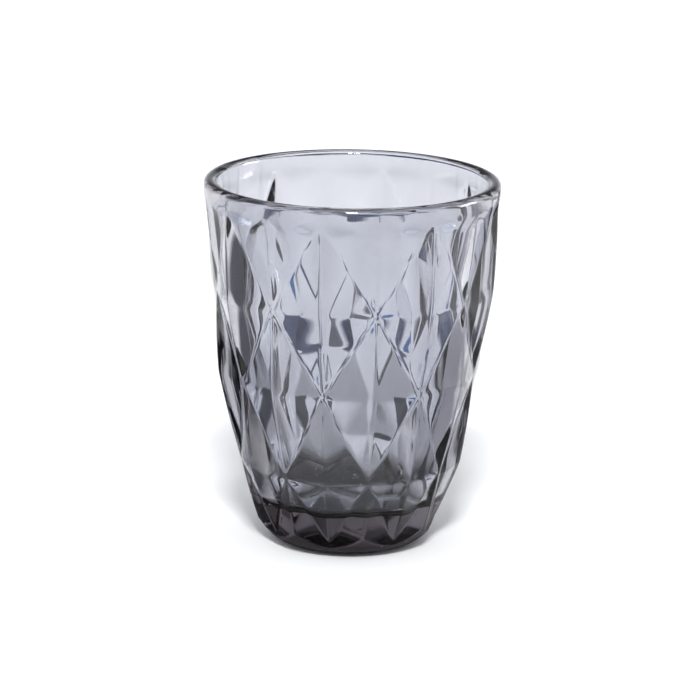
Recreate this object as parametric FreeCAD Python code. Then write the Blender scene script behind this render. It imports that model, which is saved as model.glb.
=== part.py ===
import FreeCAD, Part
import math
import os

# A tapering whiskey tumbler pressed in one piece of smoke-grey glass, with diamond relief.
# Millimetres. The glass stands on z = 0 and its axis is Z.

# Overall
height = 100.0
diamonds = 8  # diamonds in each row round the glass

# Diamond relief. At each level corners and crowns take turns, half a diamond apart.
# Corners are the low points where four diamonds meet. Crowns are the raised centres.
level_z = [96.4, 70.8, 48.1, 23.4, 4.0]
corner_r = [39.6, 36.6, 34.1, 29.6, 22.5]
crown_r = [39.8, 38.9, 36.0, 30.9, 23.9]

# Plain band under the lip
band_r = 39.8
band_z = 96.3
band_slope = 1.2  # height and depth of the bevel under the band
lip_round = 1.6

# Inside
mouth_r = 36.3
cavity_mid_r = 31.3
cavity_mid_z = 50.0
cavity_low_r = 23.0
floor_z = 12.5
floor_round = 4.0

# Heel and underside
foot_r = 15.1
heel_round = 9.8
heel_flare = 0.75  # how fast the heel's tool opens upwards where it leaves the diamonds
punt_r = 12.0
punt_depth = 1.2


def point(radius, z, step):
    """A point at a whole number of half-diamond steps round the glass. Step 0 is at -Y."""
    a = math.pi * step / diamonds
    return FreeCAD.Vector(radius * math.sin(a), -radius * math.cos(a), z)


def level(i):
    """The ring of points at level i. Even levels have their corners on even steps."""
    ring = []
    for step in range(2 * diamonds):
        is_corner = step % 2 == i % 2
        ring.append(point(corner_r[i] if is_corner else crown_r[i], level_z[i], step))
    return ring


def triangle(a, b, c):
    return Part.Face(Part.makePolygon([a, b, c, a]))


def facets_between(upper, lower, i):
    """The flat facets between level i and the next. Each bay splits from corner to corner."""
    faces = []
    n = len(upper)
    for s in range(n):
        t = (s + 1) % n
        if s % 2 == i % 2:
            faces.append(triangle(upper[s], upper[t], lower[t]))
            faces.append(triangle(upper[s], lower[t], lower[s]))
        else:
            faces.append(triangle(upper[s], upper[t], lower[s]))
            faces.append(triangle(upper[t], lower[t], lower[s]))
    return faces


def faceted_body():
    """The solid faceted body, a little longer than the diamonds at both ends."""
    rings = [level(i) for i in range(len(level_z))]
    up = FreeCAD.Vector(0, 0, 1.5)
    down = FreeCAD.Vector(0, 0, -level_z[-1] - 2.0)
    top = [p + up for p in rings[0]]
    bottom = [p + down for p in rings[-1]]
    faces = [Part.Face(Part.makePolygon(ring + ring[:1])) for ring in (top, bottom)]
    faces += facets_between(top, rings[0], 0)
    for i in range(len(rings) - 1):
        faces += facets_between(rings[i], rings[i + 1], i)
    faces += facets_between(rings[-1], bottom, len(rings) - 1)
    return Part.Solid(Part.makeShell(faces))


def turned(edges):
    """The solid made by turning a closed outline of edges round the axis."""
    outline = Part.Face(Part.Wire(edges))
    return outline.revolve(FreeCAD.Vector(0, 0, 0), FreeCAD.Vector(0, 0, 1), 360)


def at(r, z):
    return FreeCAD.Vector(r, 0, z)


def line(a, b):
    return Part.makeLine(a, b)


def arc(a, middle, b):
    return Part.Arc(a, middle, b).toShape()


def heel_envelope():
    """A rounded bowl that everything outside is trimmed to, which makes the heel."""
    end = math.atan(heel_flare)
    centre = at(foot_r, heel_round)

    def on_round(angle):
        return centre + at(math.cos(angle) * heel_round, -math.sin(angle) * heel_round)

    leave = on_round(end)
    wide = band_r + 8.0
    shoulder = at(wide, leave.z + (wide - leave.x) / heel_flare)
    return turned(
        [
            line(at(0, 0), at(foot_r, 0)),
            arc(at(foot_r, 0), on_round((math.pi / 2 + end) / 2), leave),
            line(leave, shoulder),
            line(shoulder, at(wide, height + 5)),
            line(at(wide, height + 5), at(0, height + 5)),
            line(at(0, height + 5), at(0, 0)),
        ]
    )


def lip_band():
    """The plain ring at the mouth, with a bevel that runs down into the diamonds."""
    inside = mouth_r - 4.0
    corners = [
        at(inside, height),
        at(band_r, height),
        at(band_r, band_z),
        at(band_r - band_slope, band_z - band_slope),
        at(inside, band_z - band_slope),
    ]
    ends = corners[1:] + corners[:1]
    return turned([line(a, b) for a, b in zip(corners, ends)])


def cavity():
    """The smooth inside: a gently curved wall and a flat floor with a rounded corner."""
    low = at(cavity_low_r, floor_z)
    mouth = at(mouth_r, height)
    above = at(mouth_r, height + 3)
    body = turned(
        [
            line(at(0, floor_z), low),
            arc(low, at(cavity_mid_r, cavity_mid_z), mouth),
            line(mouth, above),
            line(above, at(0, height + 3)),
            line(at(0, height + 3), at(0, floor_z)),
        ]
    )
    corner = [e for e in body.Edges if is_circle(e, cavity_low_r, floor_z)]
    return body.makeFillet(floor_round, corner)


def is_circle(edge, radius, z):
    """True for a level circle of this radius at this height."""
    if edge.Degenerated or not isinstance(edge.Curve, Part.Circle):
        return False
    return abs(edge.Curve.Radius - radius) < 0.01 and abs(edge.BoundBox.ZMin - z) < 0.01


def punt():
    """The shallow dome pressed up into the underside, inside the ring it stands on."""
    ball = (punt_r**2 + punt_depth**2) / (2 * punt_depth)
    half = punt_r / 2
    sag = ball - math.sqrt(ball**2 - half**2)
    edge, crown = at(punt_r, 0), at(0, punt_depth)
    return turned(
        [
            line(at(0, -1), at(punt_r, -1)),
            line(at(punt_r, -1), edge),
            arc(edge, at(half, punt_depth - sag), crown),
            line(crown, at(0, -1)),
        ]
    )


def glass_body():
    outside = faceted_body().common(heel_envelope()).fuse(lip_band())
    glass = outside.cut(cavity()).cut(punt()).removeSplitter()
    lips = [e for e in glass.Edges if is_circle(e, band_r, height)]
    lips += [e for e in glass.Edges if is_circle(e, mouth_r, height)]
    return glass.makeFillet(lip_round, lips)


shape = glass_body()
if shape.ShapeType != "Solid":
    shape = shape.Solids[0]
os.makedirs("parts", exist_ok=True)
shape.exportStep("parts/glass_body.step")
print("glass_body valid", shape.isValid(), "volume cm3", round(shape.Volume / 1000, 1))
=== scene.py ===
import math

import bpy
import numpy as np
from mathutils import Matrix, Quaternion, Vector


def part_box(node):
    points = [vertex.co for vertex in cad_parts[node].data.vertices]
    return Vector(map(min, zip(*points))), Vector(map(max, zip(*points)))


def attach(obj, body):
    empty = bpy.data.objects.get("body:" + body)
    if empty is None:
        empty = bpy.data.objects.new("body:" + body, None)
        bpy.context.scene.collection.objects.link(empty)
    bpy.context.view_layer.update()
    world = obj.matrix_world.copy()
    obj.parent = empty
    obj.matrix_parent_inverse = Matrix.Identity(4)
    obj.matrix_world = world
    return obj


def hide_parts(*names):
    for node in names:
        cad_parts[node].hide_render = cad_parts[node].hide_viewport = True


# A pressed whiskey tumbler of smoke-grey glass. It stands on z = 0 and its axis is Z.
# The glass is worked out in hundredths of its height. Everything else is in metres.

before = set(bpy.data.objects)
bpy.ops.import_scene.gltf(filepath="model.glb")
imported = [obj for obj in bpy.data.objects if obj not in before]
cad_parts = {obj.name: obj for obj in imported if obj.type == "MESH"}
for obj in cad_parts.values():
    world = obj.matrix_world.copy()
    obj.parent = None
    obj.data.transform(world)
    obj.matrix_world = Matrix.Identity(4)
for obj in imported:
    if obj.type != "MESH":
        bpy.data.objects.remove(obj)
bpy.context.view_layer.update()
NODE = "glass_body"
low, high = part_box(NODE)
HEIGHT = high.z - low.z
UNIT = HEIGHT / 100.0

# Relief: levels where low corners and raised crowns take turns round the glass
DIAMONDS = 8
STEPS = 2 * DIAMONDS
LEVEL_Z = np.array([96.4, 70.8, 48.1, 23.4, 4.0])
CORNER_R = np.array([39.6, 36.6, 34.1, 29.6, 22.5])
CROWN_R = np.array([39.8, 38.9, 36.0, 30.9, 23.9])
BULGE = 0.35  # how far the middle of a facet stands out

# Lip, band, heel, inside and underside
BAND_R, BAND_Z, BAND_FADE, LIP = 39.8, 96.9, 5.0, 1.6
MOUTH_R, MID_R, MID_Z, LOW_R = 36.3, 31.3, 50.0, 23.0
FLOOR_Z, FLOOR_ROUND = 12.5, 4.0
FOOT_R, HEEL_ROUND, HEEL_FLARE = 15.1, 9.8, 0.75
FOOT_RINGS = (14.0, 13.0)
PUNT_R, PUNT_DEPTH = 12.0, 1.2

# Mesh: cells across a bay, which is one step wide and one level high, and rows of the rest
CELLS = 26
AROUND = STEPS * CELLS
SOFTEN = 2  # passes of the blur that rounds the edges between facets
LIP_ROWS, BAND_ROWS, HEEL_ROWS, PUNT_ROWS = 9, 5, 13, 10
WALL_ROWS, CORNER_ROWS, FLOOR_ROWS = 40, 14, 9


def is_corner(step, level):
    return step % 2 == level % 2


def level_point(step, level):
    """The x and y of the relief's point at this step and level."""
    r = CORNER_R[level] if is_corner(step, level) else CROWN_R[level]
    a = math.pi * step / DIAMONDS
    return np.array([r * math.sin(a), -r * math.cos(a)])


def bay_row(step, level, v):
    """Directions and radii of a row of points across a bay, v of the way down to the next level.

    A bay has two facets, with a fold between them from low corner to low corner."""
    u = np.arange(CELLS) / CELLS
    down, none = np.full(CELLS, v), np.zeros(CELLS)
    if is_corner(step, level):
        above = [1 - u, u - down, none, down]
        below = [1 - down, none, down - u, u]
        weights = np.where(u >= v, above, below)
        from_fold = np.abs(u - v)
    else:
        above = [1 - u - down, u, down, none]
        below = [none, 1 - down, 1 - u, u + down - 1]
        weights = np.where(u + v <= 1, above, below)
        from_fold = np.abs(1 - u - v)
    ends = [level_point(step + i, level + k) for k in (0, 1) for i in (0, 1)]
    points = weights.T @ np.array(ends)
    r = np.hypot(points[:, 0], points[:, 1])
    return points / r[:, None], r + BULGE * 4 * from_fold * (1 - from_fold)


def relief_row(z):
    """Directions and radii all round the glass at one height."""
    z = min(max(z, LEVEL_Z[-1]), LEVEL_Z[0])
    level = int(np.sum(LEVEL_Z > z + 1e-9)) - 1
    level = min(max(level, 0), len(LEVEL_Z) - 2)
    v = (LEVEL_Z[level] - z) / (LEVEL_Z[level] - LEVEL_Z[level + 1])
    directions, radii = zip(*[bay_row(step, level, v) for step in range(STEPS)])
    return np.concatenate(directions), np.concatenate(radii)


def heel_radius(z):
    """The most that the glass may measure at this height, which rounds off its heel."""
    end = math.atan(HEEL_FLARE)
    leave_r = FOOT_R + HEEL_ROUND * math.cos(end)
    leave_z = HEEL_ROUND * (1 - math.sin(end))
    if z >= leave_z:
        return leave_r + (z - leave_z) * HEEL_FLARE
    return FOOT_R + math.sqrt(max(0.0, HEEL_ROUND**2 - (HEEL_ROUND - z) ** 2))


def band_share(z):
    """1 on the plain band, fading softly to 0 where the diamonds have fully taken over."""
    t = min(max((BAND_Z - z) / BAND_FADE, 0.0), 1.0)
    return 1 - t * t * (3 - 2 * t)


def outside_heights():
    """Heights of the rows of the outside, from the lip's widest ring to the foot."""
    heights = list(np.linspace(100 - LIP, BAND_Z + 0.25, BAND_ROWS)) + [BAND_Z]
    for top, bottom in zip(LEVEL_Z[:-1], LEVEL_Z[1:]):
        level = [top + (bottom - top) * k / CELLS for k in range(CELLS)]
        heights += [z for z in level if z < BAND_Z - 0.3]
    start = math.acos(1 - LEVEL_Z[-1] / HEEL_ROUND)
    heights += [HEEL_ROUND * (1 - math.cos(a)) for a in np.linspace(start, 0, HEEL_ROWS)]
    return heights


def smooth(field, times):
    """Softens creases, by a small blur along rows and columns."""
    for _ in range(times):
        side = (np.roll(field, 1, 1) + np.roll(field, -1, 1)) / 2
        padded = np.vstack([field[:1], field, field[-1:]])
        ends = (padded[:-2] + padded[2:]) / 2
        field = 0.5 * field + 0.25 * side + 0.25 * ends
    return field


def circle_through(a, b, c):
    """Centre and radius of the circle through three r, z points."""
    m = np.array([b - a, c - a])
    k = np.array([np.dot(b, b) - np.dot(a, a), np.dot(c, c) - np.dot(a, a)]) / 2
    centre = np.linalg.solve(m, k)
    return centre, float(np.linalg.norm(centre - a))


def inside_profile():
    """r, z points from under the lip down the wall, round the corner and in along the floor."""
    low_end, middle, mouth = np.array([[LOW_R, FLOOR_Z], [MID_R, MID_Z], [MOUTH_R, 100.0]])
    centre, big = circle_through(low_end, middle, mouth)
    round_z = FLOOR_Z + FLOOR_ROUND
    round_r = centre[0] + math.sqrt((big - FLOOR_ROUND) ** 2 - (round_z - centre[1]) ** 2)
    touch = math.atan2(round_z - centre[1], round_r - centre[0])
    start = math.asin((100 - LIP - centre[1]) / big)
    wall = [
        centre + big * np.array([math.cos(a), math.sin(a)])
        for a in np.linspace(start, touch, WALL_ROWS)
    ]
    corner = [
        np.array([round_r + FLOOR_ROUND * math.cos(a), round_z + FLOOR_ROUND * math.sin(a)])
        for a in np.linspace(touch, -math.pi / 2, CORNER_ROWS)
    ]
    floor_rings = [np.array([r, FLOOR_Z]) for r in np.linspace(round_r, 0, FLOOR_ROWS)]
    return wall + corner[1:] + floor_rings[1:-1]


def lip_profile(inner_r):
    """r, z points over the rounded lip, from outside to inside, without its two end rings."""
    middle_z = 100 - LIP
    outer = [
        np.array([BAND_R - LIP + LIP * math.cos(a), middle_z + LIP * math.sin(a)])
        for a in np.linspace(0, math.pi / 2, LIP_ROWS)
    ]
    inner = [
        np.array([inner_r + LIP - LIP * math.cos(a), middle_z + LIP * math.sin(a)])
        for a in np.linspace(math.pi / 2, 0, LIP_ROWS)
    ]
    return outer[1:] + inner[:-1]


def underside_profile():
    """r, z points in along the flat foot and up the dome of the punt."""
    ball = (PUNT_R**2 + PUNT_DEPTH**2) / (2 * PUNT_DEPTH)
    dome = [
        np.array([r, PUNT_DEPTH - ball + math.sqrt(ball**2 - r**2)])
        for r in np.linspace(PUNT_R, 0, PUNT_ROWS)
    ]
    return [np.array([r, 0.0]) for r in FOOT_RINGS] + dome[:-1]


def ring(xy, z):
    return np.column_stack([xy, np.full(len(xy), z)])


def turned_rows(profile, directions):
    return [ring(directions * r, z) for r, z in profile]


def relief_rows():
    """The outside's rows, and the directions of the topmost."""
    heights = outside_heights()
    directions, radii = zip(*[relief_row(z) for z in heights])
    radii = smooth(np.array(radii), SOFTEN)
    for i, z in enumerate(heights):
        radii[i] += (BAND_R - radii[i]) * band_share(z)
        radii[i] = np.minimum(radii[i], min(heel_radius(z), BAND_R))
    rows = [ring(d * r[:, None], z) for d, r, z in zip(directions, radii, heights)]
    return rows, directions[0]


def faces_below(i, level):
    """Faces from row i to the next. In the relief they are triangles, cut the way that the
    folds of their level run. Elsewhere the level is None and they are quads."""
    faces = []
    for j in range(AROUND):
        k = (j + 1) % AROUND
        a, b = i * AROUND + j, i * AROUND + k
        d, c = a + AROUND, b + AROUND
        if level is None:
            faces.append((a, d, c, b))
        elif is_corner(j // CELLS, level):
            faces += [(a, c, b), (a, d, c)]
        else:
            faces += [(a, d, b), (b, d, c)]
    return faces


def glass_mesh():
    """One closed skin: from the inner floor up, over the lip, down the outside and under."""
    relief, around = relief_rows()
    inside = inside_profile()
    rows = turned_rows(inside[::-1], around)
    rows += turned_rows(lip_profile(inside[0][0])[::-1], around)
    first = len(rows)
    rows += relief + turned_rows(underside_profile(), around)

    faces = []
    for i in range(len(rows) - 1):
        level = None
        if first <= i < first + len(relief) - 1:
            middle = (rows[i][0][2] + rows[i + 1][0][2]) / 2
            level = max(int(np.sum(LEVEL_Z > middle)) - 1, 0)
        faces += faces_below(i, level)

    last = (len(rows) - 1) * AROUND
    floor_centre = len(rows) * AROUND
    punt_centre = floor_centre + 1
    for j in range(AROUND):
        k = (j + 1) % AROUND
        faces += [(floor_centre, j, k), (punt_centre, last + k, last + j)]

    centres = np.array([[0, 0, FLOOR_Z], [0, 0, PUNT_DEPTH]])
    verts = np.vstack(rows + [centres]) * UNIT
    mesh = bpy.data.meshes.new("tumbler_glass")
    mesh.from_pydata(verts.tolist(), [], faces)
    mesh.polygons.foreach_set("use_smooth", [True] * len(mesh.polygons))
    mesh.update()
    return mesh


def new_material(name):
    m = bpy.data.materials.new(name)
    m.use_nodes = True
    m.node_tree.nodes.clear()
    return m, m.node_tree.nodes, m.node_tree.links


def noise(nodes, links, coord, scale, detail):
    n = nodes.new("ShaderNodeTexNoise")
    n.inputs["Scale"].default_value = scale
    n.inputs["Detail"].default_value = detail
    links.new(coord, n.inputs["Vector"])
    return n.outputs["Fac"]


def colour_ramp(nodes, links, factor, stops):
    """A colour ramp through these stops, each a position and a colour."""
    node = nodes.new("ShaderNodeValToRGB")
    elements = node.color_ramp.elements
    for position, colour in stops[1:-1]:
        elements.new(position).color = (*colour, 1)
    for element, (position, colour) in ((elements[0], stops[0]), (elements[-1], stops[-1])):
        element.position = position
        element.color = (*colour, 1)
    links.new(factor, node.inputs[0])
    return node.outputs[0]


def smoke_glass():
    """Clear smoke-grey glass, with faint mould ripples and the haze of handling."""
    m, nodes, links = new_material("smoke_glass")
    coord = nodes.new("ShaderNodeTexCoord").outputs["Object"]
    out = nodes.new("ShaderNodeOutputMaterial")
    p = nodes.new("ShaderNodeBsdfPrincipled")
    p.inputs["Transmission Weight"].default_value = 1.0
    p.inputs["IOR"].default_value = 1.52

    cloud = noise(nodes, links, coord, 28.0, 3.0)
    tint = colour_ramp(nodes, links, cloud, [(0.35, (0.75, 0.77, 0.82)), (0.65, (0.81, 0.83, 0.87))])
    links.new(tint, p.inputs["Base Color"])

    haze = nodes.new("ShaderNodeMapRange")
    haze.inputs["From Min"].default_value = 0.55
    haze.inputs["From Max"].default_value = 0.75
    haze.inputs["To Min"].default_value = 0.004
    haze.inputs["To Max"].default_value = 0.035
    links.new(noise(nodes, links, coord, 75.0, 4.0), haze.inputs["Value"])
    links.new(haze.outputs[0], p.inputs["Roughness"])

    ripples = nodes.new("ShaderNodeBump")
    ripples.inputs["Strength"].default_value = 1.0
    ripples.inputs["Distance"].default_value = 0.00012
    links.new(noise(nodes, links, coord, 70.0, 1.0), ripples.inputs["Height"])
    links.new(ripples.outputs[0], p.inputs["Normal"])

    smoke = nodes.new("ShaderNodeVolumeAbsorption")
    smoke.inputs["Color"].default_value = (0.17, 0.11, 0.13, 1)
    smoke.inputs["Density"].default_value = 53.0
    links.new(p.outputs[0], out.inputs["Surface"])
    links.new(smoke.outputs[0], out.inputs["Volume"])
    return m


glass = bpy.data.objects.new("tumbler_glass", glass_mesh())
bpy.context.scene.collection.objects.link(glass)
glass.data.materials.append(smoke_glass())
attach(glass, "root")
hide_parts(NODE)

# Camera: the way it faces, from -Y towards +X, its place and its aim, roll and lens
AZIMUTH = math.radians(11.87)
DISTANCE, CAMERA_Z, TARGET_Z = 10.0 * HEIGHT, 3.124 * HEIGHT, 0.5246 * HEIGHT
ROLL, LENS, SENSOR, CLIP_END = 0.0155, 196.5, 36, 20
BOUNCES = 24  # light crosses many faces of clear glass

# Stage
FLOOR_SIZE = 6
LIGHTS = [  # name, azimuth, elevation, distance, size, power, whether it lights the floor
    ("key", 0, 46, 8.0, 1.1, 450, True),
    ("left_box", -80, 16, 3.0, 1.5, 14, False),
    ("right_box", 100, 12, 3.0, 1.0, 30, False),
]
# PAINTED_SHADOW_FADE fades the shade card, a painted shadow of the glass on the floor, darkest under
# its foot
# How solid a card is, from its middle at 0 to its rim at 1
PAINTED_SHADOW_FADE = [(0.0, 0.98), (0.17, 0.93), (0.28, 0.38), (0.5, 0.14), (1.0, 0.0)]
CARD = [(0.0, 1.0), (0.72, 0.97), (1.0, 0.0)]
# Cards seen only through the glass. The shade, left and right cards are painted shade: the glass's
# shadow and the darker floor close round its foot
CARDS = [  # name, x, y, width, depth, height above the floor, colour, how solid
    ("shade", -0.01, 0, 0.34, 0.34, 0.001, (0.12, 0.11, 0.115), PAINTED_SHADOW_FADE),
    ("back_right", 0.120, 0.40, 0.088, 0.60, 0.0020, (0.05, 0.05, 0.07), CARD),
    ("behind", -0.03, 0.25, 0.10, 0.11, 0.0022, (0.03, 0.048, 0.12), CARD),
    # Painted shade: left and right darken the floor close beside the glass
    ("left", -0.157, 0.012, 0.23, 0.16, 0.0024, (0.045, 0.05, 0.065), CARD),
    ("right", 0.095, 0.015, 0.11, 0.17, 0.0026, (0.35, 0.35, 0.38), CARD),
    ("near", -0.042, 0.12, 0.036, 0.06, 0.0028, (0.09, 0.09, 0.10), CARD),
    ("middle", -0.066, 0.175, 0.034, 0.05, 0.0030, (0.12, 0.12, 0.14), CARD),
    ("teal", 0.160, 0.236, 0.042, 0.070, 0.0033, (0.02, 0.04, 0.06), CARD),
    ("far", -0.072, 0.296, 0.024, 0.034, 0.0034, (0.05, 0.05, 0.055), CARD),
    ("edge", -0.056, 0.226, 0.036, 0.030, 0.0035, (0.012, 0.02, 0.055), CARD),
    ("pale", -0.053, 0.257, 0.022, 0.034, 0.0036, (0.95, 0.95, 0.97), CARD),
    ("blue", 0.005, 0.178, 0.026, 0.03, 0.0032, (0.05, 0.14, 0.38), CARD),
]


def pale_floor():
    m, nodes, links = new_material("pale_floor")
    out = nodes.new("ShaderNodeOutputMaterial")
    p = nodes.new("ShaderNodeBsdfPrincipled")
    p.inputs["Base Color"].default_value = (0.9, 0.9, 0.9, 1)
    p.inputs["Roughness"].default_value = 0.6
    links.new(p.outputs[0], out.inputs["Surface"])
    return m


def background(nodes, colour, strength):
    b = nodes.new("ShaderNodeBackground")
    b.inputs["Color"].default_value = (*colour, 1)
    b.inputs["Strength"].default_value = strength
    return b


def studio_world():
    """White to the camera, and the same all over where it lights the floor. What the glass bends
    or mirrors of it is bright at the horizon and dimmer overhead."""
    world = bpy.data.worlds.new("studio")
    bpy.context.scene.world = world
    world.use_nodes = True
    nodes, links = world.node_tree.nodes, world.node_tree.links
    nodes.clear()
    out = nodes.new("ShaderNodeOutputWorld")
    coord = nodes.new("ShaderNodeTexCoord")
    split = nodes.new("ShaderNodeSeparateXYZ")
    links.new(coord.outputs["Generated"], split.inputs[0])
    stops = [(0.0, (0.96, 0.98, 1.04)), (0.12, (0.85, 0.87, 0.93)), (0.3, (0.28, 0.28, 0.30))]
    sky = colour_ramp(nodes, links, split.outputs["Z"], stops)
    light = background(nodes, (1, 1, 1), 1.0)
    links.new(sky, light.inputs["Color"])
    fill = background(nodes, (0.69, 0.70, 0.72), 1.0)
    seen = background(nodes, (1, 1, 1), 1.15)
    path = nodes.new("ShaderNodeLightPath")
    shown = light.outputs[0]
    for ray, shader in (("Is Diffuse Ray", fill), ("Is Camera Ray", seen)):
        mix = nodes.new("ShaderNodeMixShader")
        links.new(path.outputs[ray], mix.inputs[0])
        links.new(shown, mix.inputs[1])
        links.new(shader.outputs[0], mix.inputs[2])
        shown = mix.outputs[0]
    links.new(shown, out.inputs[0])


def floor_card(name, x, y, width, depth, height, colour, shares):
    """An oval card lying just above the floor, seen only through the glass. It gives clear glass
    something to bend: painted shadow and shade round the glass's foot, and dark, coloured and pale
    patches further off. It fades out towards its rim as the shares say."""
    bpy.ops.mesh.primitive_circle_add(vertices=96, radius=1, fill_type="NGON")
    card = bpy.context.object
    card.name = name
    card.location = (x, y, height)
    card.scale = (width / 2, depth / 2, 1)
    m, nodes, links = new_material(name)
    out = nodes.new("ShaderNodeOutputMaterial")
    coord = nodes.new("ShaderNodeTexCoord")
    length = nodes.new("ShaderNodeVectorMath")
    length.operation = "LENGTH"
    links.new(coord.outputs["Object"], length.inputs[0])
    stops = [(at, (share, share, share)) for at, share in shares]
    fade = colour_ramp(nodes, links, length.outputs["Value"], stops)
    clear = nodes.new("ShaderNodeBsdfTransparent")
    paint = nodes.new("ShaderNodeBsdfDiffuse")
    paint.inputs["Color"].default_value = (*colour, 1)
    mix = nodes.new("ShaderNodeMixShader")
    links.new(fade, mix.inputs[0])
    links.new(clear.outputs[0], mix.inputs[1])
    links.new(paint.outputs[0], mix.inputs[2])
    links.new(mix.outputs[0], out.inputs["Surface"])
    card.data.materials.append(m)
    card.visible_camera = False
    card.visible_diffuse = False
    card.visible_shadow = False


def soft_light(name, azimuth, elevation, distance, size, power, lights_floor):
    """A square lamp aimed at the glass. Azimuth is from the camera's side, to its right."""
    data = bpy.data.lights.new(name, "AREA")
    data.size = size
    data.energy = power
    lamp = bpy.data.objects.new(name, data)
    bpy.context.scene.collection.objects.link(lamp)
    a, e = AZIMUTH + math.radians(azimuth), math.radians(elevation)
    away = Vector((math.sin(a) * math.cos(e), -math.cos(a) * math.cos(e), math.sin(e)))
    centre = Vector((0, 0, 0.5 * HEIGHT))
    lamp.location = centre + away * distance
    lamp.rotation_mode = "QUATERNION"
    lamp.rotation_quaternion = (-away).to_track_quat("-Z", "Y")
    lamp.visible_camera = False
    lamp.visible_diffuse = lights_floor


bpy.ops.mesh.primitive_plane_add(size=FLOOR_SIZE)
floor = bpy.context.object
floor.name = "floor"
floor.data.materials.append(pale_floor())

studio_world()
for light in LIGHTS:
    soft_light(*light)
for card in CARDS:
    floor_card(*card)

cam = bpy.data.objects.new("camera", bpy.data.cameras.new("camera"))
bpy.context.scene.collection.objects.link(cam)
cam.location = (DISTANCE * math.sin(AZIMUTH), -DISTANCE * math.cos(AZIMUTH), CAMERA_Z)
aim = Vector((0, 0, TARGET_Z)) - cam.location
cam.rotation_mode = "QUATERNION"
cam.rotation_quaternion = aim.to_track_quat("-Z", "Y") @ Quaternion((0, 0, 1), ROLL)
cam.data.lens = LENS
cam.data.sensor_width = SENSOR
cam.data.clip_end = CLIP_END
bpy.context.scene.camera = cam

scene = bpy.context.scene
scene.view_settings.view_transform = "Standard"
scene.view_settings.look = "Medium High Contrast"
scene.cycles.max_bounces = BOUNCES
scene.cycles.transmission_bounces = BOUNCES
